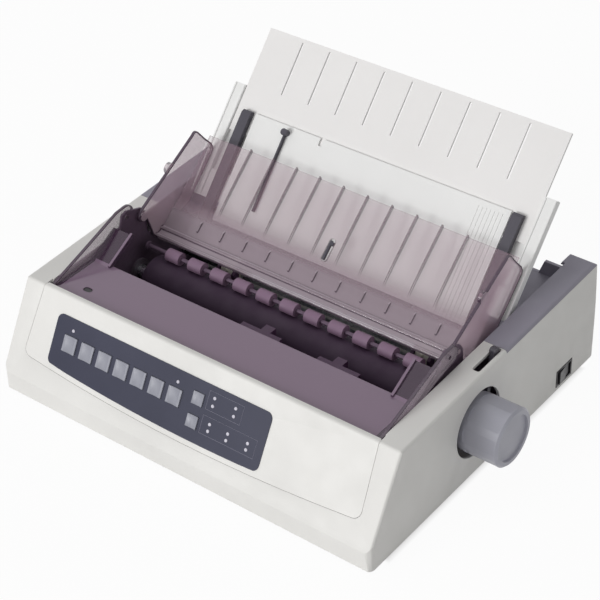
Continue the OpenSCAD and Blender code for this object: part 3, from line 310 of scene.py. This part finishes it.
# %% Pale and grey plastics of the outside
shell = moulded("off_white_case", (0.80, 0.79, 0.765))
cover_grey = moulded("slate_rear_cover", (0.31, 0.295, 0.355), rough=0.55)
key_grey = moulded("grey_keys", (0.285, 0.29, 0.34), rough=0.4, grain=2500, strength=0.15)
knob_blue = moulded("blue_grey_knob", (0.42, 0.42, 0.48), rough=0.42, grain=2200, strength=0.2)
sheet_white = moulded("smooth_white_plastic", (0.90, 0.90, 0.89), rough=0.38, grain=2600,
                      strength=0.1, drift=0.015)
extension_white = moulded("extension_white", (0.90, 0.885, 0.875), rough=0.45, drift=0.015)
wear("outer_case", "front_panel", "base_pan", finish=shell)
wear("support_extension", finish=extension_white)
wear("rear_cover", finish=cover_grey)
wear(*keys, finish=key_grey)
wear("platen_knob", "ribbon_knob", finish=knob_blue)
wear("support_panel", "sheet_rest", finish=sheet_white)
print("outside plastics:", shell.name, cover_grey.name, knob_blue.name)

# %% Dark plastics and the nylon of the inside
black = moulded("black_plastic", (0.055, 0.050, 0.068), rough=0.42)
deep_black = moulded("deep_black_plastic", (0.016, 0.014, 0.018), rough=0.38)
inner_black = moulded("inner_black_plastic", (0.068, 0.026, 0.070), rough=0.5)
gear_grey = moulded("dark_nylon", (0.11, 0.085, 0.11), rough=0.5)
roller_grey = moulded("mauve_grey_roller", (0.25, 0.155, 0.235), rough=0.6, grain=1400)
nylon = moulded("natural_nylon", (0.72, 0.70, 0.62), rough=0.45)
wear("support_arms", "sheet_guide", "paper_lever", finish=black)
wear("switch_frame", "power_rocker", "power_inlet", finish=deep_black)
wear("paper_chute", "left_tractor", "right_tractor", "print_carriage", "ribbon_cartridge",
     finish=inner_black)
wear("bail_rollers", finish=roller_grey)
wear("left_sprocket", "right_sprocket", finish=nylon)
wear("platen_gear", "idler_gear", "shaft_bushes", finish=gear_grey)
print("inside plastics:", black.name, inner_black.name, nylon.name)

# %% [markdown]
# ## Smoke plastic
#
# The cover and the separator are clear mouldings with a mauve smoke tint. A broad wall is easy to see
# through. Its edges, the ribs and the beads look much darker, because one looks along the plastic there,
# and those that look up carry a painted highlight.
# A real volume of tinted plastic would need very many samples, so the shader
# asks which way a face points in the piece's own space and where it lies.
# It starts with the dense look of an edge, and lays a thinner one over it wherever a broad wall is. On
# the cover's two arms it lays painted shade instead: the clear arms are made dark and dense, standing in
# for the dark inside under them.

# %% Which way a clear face points, and where it lies
separator_foot = (184, 83)
separator_tilt = 50
plate_rise = (math.sin(math.radians(separator_tilt)), math.cos(math.radians(separator_tilt)))

def facing(tree, normal, way):
    """1 on faces that point along way or against it, 0 on all others."""
    dot = node_of(tree, "ShaderNodeVectorMath", operation="DOT_PRODUCT")
    tree.links.new(normal, dot.inputs[0])
    dot.inputs[1].default_value = way
    return spread(tree, number(tree, "ABSOLUTE", dot.outputs["Value"]), 0, 1, 0.90, 0.97)

def beyond(tree, point, reach):
    """1 further than reach, in metres, to either side of the case's middle."""
    across = number(tree, "ADD", point["X"], -case_middle_x / 1000)
    return number(tree, "GREATER_THAN", number(tree, "ABSOLUTE", across), reach)

def plate(tree, normal, point):
    """1 on the two faces of the separator's sloping plate."""
    return facing(tree, normal, (0, -plate_rise[1], plate_rise[0]))

def plate_foot(tree, normal, point):
    """1 on the thick lowest 18 mm of that plate, fading out up to 34 mm."""
    foot = on_case(0, *separator_foot)
    back = number(tree, "MULTIPLY", number(tree, "SUBTRACT", point["Y"], foot.y), plate_rise[0])
    up = number(tree, "MULTIPLY", number(tree, "SUBTRACT", point["Z"], foot.z), plate_rise[1])
    low = spread(tree, number(tree, "ADD", back, up), 1, 0, 0.018, 0.034)
    return number(tree, "MULTIPLY", low, plate(tree, normal, point))

def end_walls(reach):
    """1 on the flat of the end walls, beyond reach from the middle."""
    def share(tree, normal, point):
        return number(tree, "MULTIPLY", facing(tree, normal, (1, 0, 0)), beyond(tree, point, reach))
    return share

def cover_arms_painted_shade(tree, normal, point):
    """1 on the cover's two arms, behind its strip and inside its end walls, where the dark inside under
    the clear arms is painted in as shade.
    """
    behind = number(tree, "GREATER_THAN", point["Y"], on_case(0, 99, 0).y)
    inside = number(tree, "SUBTRACT", 1.0, beyond(tree, point, 0.1729))
    between = number(tree, "MULTIPLY", beyond(tree, point, 0.1530), inside)
    return number(tree, "MULTIPLY", behind, between)

# %% A maker of smoke plastic
def smoke(name, reach, edges, layers):
    """edges are the dark colour, the colour of a painted highlight and the density of all narrow faces;
    the painted highlight lies on those that look up, away from the end walls. Each layer = (share,
    colour, density) lies over them where its share is 1. The end walls start at reach."""
    made, tree, shader = new_finish(name)
    place = node_of(tree, "ShaderNodeTexCoord")
    normal = place.outputs["Normal"]
    point = node_of(tree, "ShaderNodeSeparateXYZ")
    tree.links.new(place.outputs["Object"], point.inputs[0])
    slant = node_of(tree, "ShaderNodeSeparateXYZ")
    tree.links.new(normal, slant.inputs[0])
    dark, light, density = edges
    between_ends = number(tree, "SUBTRACT", 1.0, beyond(tree, point.outputs, reach))
    painted_highlight_share = spread(tree, slant.outputs["Z"], 0, 1, 0.2, 0.95)
    # painted highlight: narrow faces that look up, between the end walls, go from the dark colour to the
    # lighter one
    colour = mixed(tree, number(tree, "MULTIPLY", painted_highlight_share, between_ends), dark, light)
    for share_of, layer_colour, layer_density in layers:
        share = share_of(tree, normal, point.outputs)
        colour = mixed(tree, share, colour, layer_colour)
        density = spread(tree, share, density, layer_density, 0, 1)
    tree.links.new(colour, shader.inputs["Base Color"])
    tree.links.new(density, shader.inputs["Alpha"])
    tree.links.new(spread(tree, noise(tree, 25), 0.12, 0.2), shader.inputs["Roughness"])
    shader.inputs["Coat Weight"].default_value = 0.4
    shader.inputs["Coat Roughness"].default_value = 0.06
    tree.links.new(grain_bump(tree, noise(tree, 120), 0.05, 0.0002), shader.inputs["Normal"])
    print(name, "with", len(layers), "layers over its edges")
    return made

# %% Smoke for the separator and the cover
separator_ends = 0.1650
# The second colour of each edges tuple is a painted highlight on narrow faces that look up.
separator_smoke = smoke("separator_smoke", separator_ends,
                        ((0.075, 0.04, 0.075), (0.60, 0.50, 0.57), 0.62),
                        [(plate, (0.52, 0.34, 0.42), 0.17),
                         (plate_foot, (0.50, 0.40, 0.46), 0.52),
                         (end_walls(separator_ends), (0.80, 0.62, 0.71), 0.44)])
cover_ends = 0.1690
cover_smoke = smoke("cover_smoke", cover_ends,
                    ((0.09, 0.05, 0.09), (0.28, 0.187, 0.275), 0.82),
                    [(end_walls(cover_ends), (0.72, 0.60, 0.69), 0.36),
                     # painted shade: the clear arms are made nearly opaque and dark where the dark
                     # inside lies under them
                     (cover_arms_painted_shade, (0.05, 0.022, 0.05), 0.88)])
wear("paper_separator", finish=separator_smoke)
wear("access_cover", finish=cover_smoke)

# %% [markdown]
# ## Panel film and metals
#
# The operator panel is a printed film with a satin skin, so its gloss is kept low. The frame and the
# shafts are zinc plated steel with a faint crystal pattern, and the print head is cast. A second steel,
# half dull, is for the plates and the bail; its colour is painted dark and mauve as painted shade,
# because they lie in the dark of the case.

# %% Film and metals
film, tree, shader = new_finish("slate_panel_film")
film_colour = drifting(tree, 14, (0.026, 0.028, 0.056), (0.036, 0.038, 0.070))
tree.links.new(film_colour, shader.inputs["Base Color"])
shader.inputs["Roughness"].default_value = 0.38
shader.inputs["Specular IOR Level"].default_value = 0.22
tree.links.new(grain_bump(tree, noise(tree, 3000, 1), 0.12, 0.00002), shader.inputs["Normal"])

def plated(name, colour, rough, metal=1.0):
    made, tree, shader = new_finish(name)
    tree.links.new(drifting(tree, 40, [c * 0.85 for c in colour], colour), shader.inputs["Base Color"])
    shader.inputs["Metallic"].default_value = metal
    dulled = spread(tree, noise(tree, 220), rough - 0.08, rough + 0.08)
    tree.links.new(dulled, shader.inputs["Roughness"])
    tree.links.new(grain_bump(tree, noise(tree, 900), 0.08, 0.00003), shader.inputs["Normal"])
    return made

steel = plated("zinc_plated_steel", (0.62, 0.63, 0.66), 0.32)
cast = plated("cast_aluminium", (0.50, 0.51, 0.53), 0.45)
# painted shade: the plates and the bail get a near-black mauve steel for the dark of the case
steel_painted_as_shade = plated("steel_painted_dark_as_shade", (0.13, 0.085, 0.13), 0.55, 0.35)
wear("panel_overlay", finish=film)
wear("case_screws", "base_frame", "guide_shafts", "guide_rail", "power_supply",
     "interface_connector", "platen_shaft", "feed_pinion", "tractor_shaft", "drive_pulley",
     "idler_pulley", finish=steel)
wear("side_frames", "paper_bail", finish=steel_painted_as_shade)
wear("print_head", finish=cast)
print("film and metals:", film.name, steel.name, steel_painted_as_shade.name, cast.name)

# %% [markdown]
# ## Rubber, enamel and lenses
#
# The platen is ground rubber, nearly black and dull. The motors are
# enamelled, the ribbon is inked nylon, and the boards have a green solder
# mask. The lamps' lenses are pale and polished. All are mouldings or skins
# with their own grain, so the plastics' function makes them too.

# %% Rubber, enamel, ink and lenses
rubber = moulded("ground_rubber", (0.040, 0.018, 0.043), rough=0.72, grain=1200, strength=0.5)
enamel = moulded("black_enamel", (0.018, 0.018, 0.020), rough=0.3, grain=700, strength=0.1)
inked = moulded("inked_nylon", (0.008, 0.008, 0.012), rough=0.85, grain=2400, strength=0.7)
green = moulded("solder_mask", (0.02, 0.12, 0.05), rough=0.3, grain=900, strength=0.2)
lens = moulded("tinted_lens", (0.60, 0.58, 0.66), rough=0.15, grain=1500, strength=0.05)
wear("platen_roller", "feet", "carriage_belt", finish=rubber)
wear("motors", finish=enamel)
wear("ribbon", finish=inked)
wear("control_board", "main_board", finish=green)
wear("indicator_lenses", finish=lens)
print("finishes:", len(bpy.data.materials))

# %% [markdown]
# ## Beads along the sheet support
#
# Both side edges of the sheet support carry two thin raised beads, and the
# extension slides between the inner pair. Each bead starts as a cube between
# two corners on the support's slope, which is cut once each way and bevelled.
# A function that turns places on a slope into places in the room keeps their
# sizes readable.

# %% Helpers for pieces that lie on a slope
def slope_place(foot, tilt):
    """Turns (x, out, up) on a slope into a place: millimetres in, metres out."""
    lean = math.radians(tilt)
    def place(x, out, up):
        y = foot[0] + up * math.sin(lean) - out * math.cos(lean)
        z = foot[1] + up * math.cos(lean) + out * math.sin(lean)
        return on_case(x, y, z)
    return place

def block(name, place, low, high, cuts=0):
    """A cube between two corners of a slope, each edge cut by so many cuts."""
    bpy.ops.object.select_all(action="DESELECT")
    bpy.ops.mesh.primitive_cube_add(size=1, location=(0, 0, 0))
    piece = bpy.context.object
    piece.name = name
    for corner in piece.data.vertices:
        share = corner.co + Vector((0.5, 0.5, 0.5))
        corner.co = place(*[low[i] + (high[i] - low[i]) * share[i] for i in range(3)])
    bpy.ops.object.mode_set(mode="EDIT")
    bpy.ops.mesh.select_all(action="SELECT")
    if cuts:
        bpy.ops.mesh.subdivide(number_cuts=cuts)
    bpy.ops.mesh.normals_make_consistent(inside=False)
    bpy.ops.mesh.select_mode(type="FACE")
    bpy.ops.mesh.select_all(action="DESELECT")
    bpy.ops.object.mode_set(mode="OBJECT")
    return piece

# %% Helpers that finish a piece
def finish_edges(piece, width, segments=3):
    """Rounds all sharp edges and smooths what is nearly flat."""
    edge = piece.modifiers.new("edge", "BEVEL")
    edge.width = width
    edge.segments = segments
    edge.limit_method = "ANGLE"
    edge.angle_limit = math.radians(35)
    bpy.context.view_layer.objects.active = piece
    bpy.ops.object.modifier_apply(modifier=edge.name)
    bpy.ops.object.shade_smooth_by_angle(angle=math.radians(40))
    return piece

def together(name, pieces):
    """Joins pieces into one object."""
    bpy.ops.object.select_all(action="DESELECT")
    for piece in pieces:
        piece.select_set(True)
    bpy.context.view_layer.objects.active = pieces[0]
    bpy.ops.object.join()
    pieces[0].name = name
    pieces[0].select_set(False)
    return pieces[0]

def dress(piece, finish, body):
    """Gives a new piece its finish and the body that it moves with."""
    piece.data.materials.clear()
    piece.data.materials.append(finish)
    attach(piece, body)
    print(piece.name, "on", body, "faces:", len(piece.data.polygons))

# %% Raised beads along the support's side edges
support_foot = (210.2, 70)
support_tilt = 41.8
support_place = slope_place(support_foot, support_tilt)
bead_sides = ((161.3, 162.9), (171.2, 172.8))
bead_start, bead_end = 36, 142.5
bead_foot, bead_top = -0.3, 0.9
beads = []
for side in (-1, 1):
    for inner, outer in bead_sides:
        low_x, high_x = sorted((side * inner, side * outer))
        bead = block("bead", support_place, (low_x, bead_foot, bead_start),
                     (high_x, bead_top, bead_end), cuts=1)
        beads.append(finish_edges(bead, 0.0004))
dress(together("support_side_beads", beads), sheet_white, "support")

# %% [markdown]
# ## Frames on the key panel
#
# Fine pale lines run round the two groups of lamps on the panel. On the
# machine they are printed on the film. Here each is a thin raised plate
# whose face is inset and sunk again, so that only its border stands out.
# That holds in any light, and needs no pattern to be lined up.

# %% Printed frames on the panel
def sink_face(piece, outward, border, depth):
    """Insets the face that looks outward and pushes it in, all in metres."""
    for face in piece.data.polygons:
        face.select = face.normal.dot(outward) > 0.9
    bpy.ops.object.mode_set(mode="EDIT")
    bpy.ops.mesh.inset(thickness=border)
    bpy.ops.transform.translate(value=outward * -depth)
    bpy.ops.object.mode_set(mode="OBJECT")

panel_foot = (0, 21.5)
panel_tilt = 28.8964
panel_place = slope_place(panel_foot, panel_tilt)
panel_outward = (panel_place(0, 1, 0) - panel_place(0, 0, 0)).normalized()
print_foot, print_top = 0.3, 0.70
print_sizes = ((16, 52, 50.2, 66.6), (16, 72.5, 29.2, 45.2))
pale_print = moulded("pale_print", (0.27, 0.26, 0.33), rough=0.5, grain=3000)
frames = []
for low_x, high_x, low_up, high_up in print_sizes:
    frame_line = block("frame_line", panel_place, (low_x, print_foot, low_up),
                       (high_x, print_top, high_up))
    sink_face(frame_line, panel_outward, border=0.0005, depth=0.0003)
    frames.append(frame_line)
dress(together("panel_frames", frames), pale_print, "frame")

# %% [markdown]
# ## Dark rims on the clear end walls
#
# A clear moulding looks darkest where it is thickest, and both end walls of
# the cover and of the separator have a rim all round. A circle of vertices
# is moved onto the wall's outline and extruded across it. Solidify then gives
# the ribbon its thickness, inwards, and a bevel rounds it.

# %% The outlines of the end walls
def arc(middle, radius, start, end, steps):
    angles = [math.radians(start + (end - start) * i / steps) for i in range(steps + 1)]
    return [(middle[0] + radius * math.cos(a), middle[1] + radius * math.sin(a)) for a in angles]

def swell(outline, by):
    """Moves a closed outline's corners out from its middle by a little."""
    middle = [sum(p[i] for p in outline) / len(outline) for i in (0, 1)]
    grown = []
    for y, z in outline:
        away = math.hypot(y - middle[0], z - middle[1])
        grown.append((y + (y - middle[0]) / away * by, z + (z - middle[1]) / away * by))
    return grown

separator_end = ([(158, 114.5), (234, 155.9)] + arc((238, 153.5), 4.5, 120, 40, 4)
                 + [(250, 145.5), (259, 135.5)] + arc((256, 130), 5, 40, -30, 4)
                 + [(224, 91), (208, 86), (186, 80), (175, 78), (172, 82), (165, 104)]
                 + arc((161, 109), 6, -60, -215, 8)[1:])
cover_end = ([(47.6, 93), (47.6, 95.8), (92, 110), (134, 124)] + arc((146, 116), 8.8, 95, -60, 8)
             + [(124, 103), (100, 95.3), (99.9, 93)])
print("corners:", len(separator_end), "and", len(cover_end))

# %% Rims round the end walls
rim_wall = 0.0011
rim_proud = 0.15

def rim(outline, low_x, high_x):
    """A ribbon along outline = (y, z) in case millimetres."""
    bpy.ops.object.select_all(action="DESELECT")
    bpy.ops.mesh.primitive_circle_add(vertices=len(outline), fill_type="NOTHING", location=(0, 0, 0))
    ribbon = bpy.context.object
    for corner, (y, z) in zip(ribbon.data.vertices, outline):
        corner.co = on_case(low_x, y, z)
    bpy.ops.object.mode_set(mode="EDIT")
    bpy.ops.mesh.select_mode(type="VERT")
    bpy.ops.mesh.select_all(action="SELECT")
    bpy.ops.mesh.extrude_region_move(
        TRANSFORM_OT_translate={"value": ((high_x - low_x) / 1000, 0, 0)})
    bpy.ops.mesh.select_all(action="SELECT")
    bpy.ops.mesh.normals_make_consistent(inside=False)
    bpy.ops.mesh.select_mode(type="FACE")
    bpy.ops.object.mode_set(mode="OBJECT")
    middle = sum((corner.co for corner in ribbon.data.vertices), Vector())
    middle /= len(ribbon.data.vertices)
    outwards = sum((face.center - middle).dot(face.normal) * face.area
                   for face in ribbon.data.polygons)
    thick = ribbon.modifiers.new("wall", "SOLIDIFY")
    thick.thickness = rim_wall
    thick.offset = -1 if outwards > 0 else 1
    thick.use_even_offset = True
    bpy.ops.object.modifier_apply(modifier=thick.name)
    bpy.ops.object.mode_set(mode="EDIT")
    bpy.ops.mesh.select_all(action="SELECT")
    bpy.ops.mesh.normals_make_consistent(inside=False)
    bpy.ops.object.mode_set(mode="OBJECT")
    return finish_edges(ribbon, 0.00025, 2)

smoke_rim = moulded("dark_smoke_rim", (0.085, 0.055, 0.085), rough=0.25, grain=900, strength=0.08)
for name, outline, inner, outer, body in (
        ("separator_rims", separator_end, 166.5, 169.3, "separator"),
        ("cover_rims", cover_end, 172.9, 175.7, "cover")):
    proud = swell(outline, rim_proud)
    dress(together(name, [rim(proud, inner, outer), rim(proud, -outer, -inner)]), smoke_rim, body)

# %% [markdown]
# ## Two dark catches
#
# A dark catch looks out of the oval hole at the left of the cover's strip,
# and another stands in the separator's finger slot. The first is a cylinder
# pressed oval, with its top inset and sunk to a shallow cup. The second is a
# bar with a small hook at its top, joined from two bevelled blocks.

# %% The catch in the strip's oval hole
catch_place = on_case(-145, 61.5, 94)
catch_size = (0.0041, 0.0027, 0.0016)
bpy.ops.object.select_all(action="DESELECT")
bpy.ops.mesh.primitive_cylinder_add(vertices=48, radius=1, depth=1, location=(0, 0, 0))
plug = bpy.context.object
plug.name = "strip_catch"
bpy.ops.object.mode_set(mode="EDIT")
bpy.ops.mesh.select_all(action="SELECT")
bpy.ops.transform.resize(value=catch_size)
bpy.ops.transform.translate(value=catch_place)
bpy.ops.mesh.select_mode(type="FACE")
bpy.ops.mesh.select_all(action="DESELECT")
bpy.ops.object.mode_set(mode="OBJECT")
sink_face(plug, Vector((0, 0, 1)), border=0.0007, depth=0.0005)
dress(finish_edges(plug, 0.0002, 2), deep_black, "cover")

# %% The catch in the separator's finger slot
separator_place = slope_place(separator_foot, separator_tilt)
catch = finish_edges(block("catch", separator_place, (-1.9, -2.1, 30.5), (0.6, 0.5, 49), cuts=1), 0.0005)
hook = finish_edges(block("hook", separator_place, (0.2, -2.1, 44.5), (2.6, 0.4, 48), cuts=1), 0.0005)
dress(together("slot_catch", [catch, hook]), black, "separator")
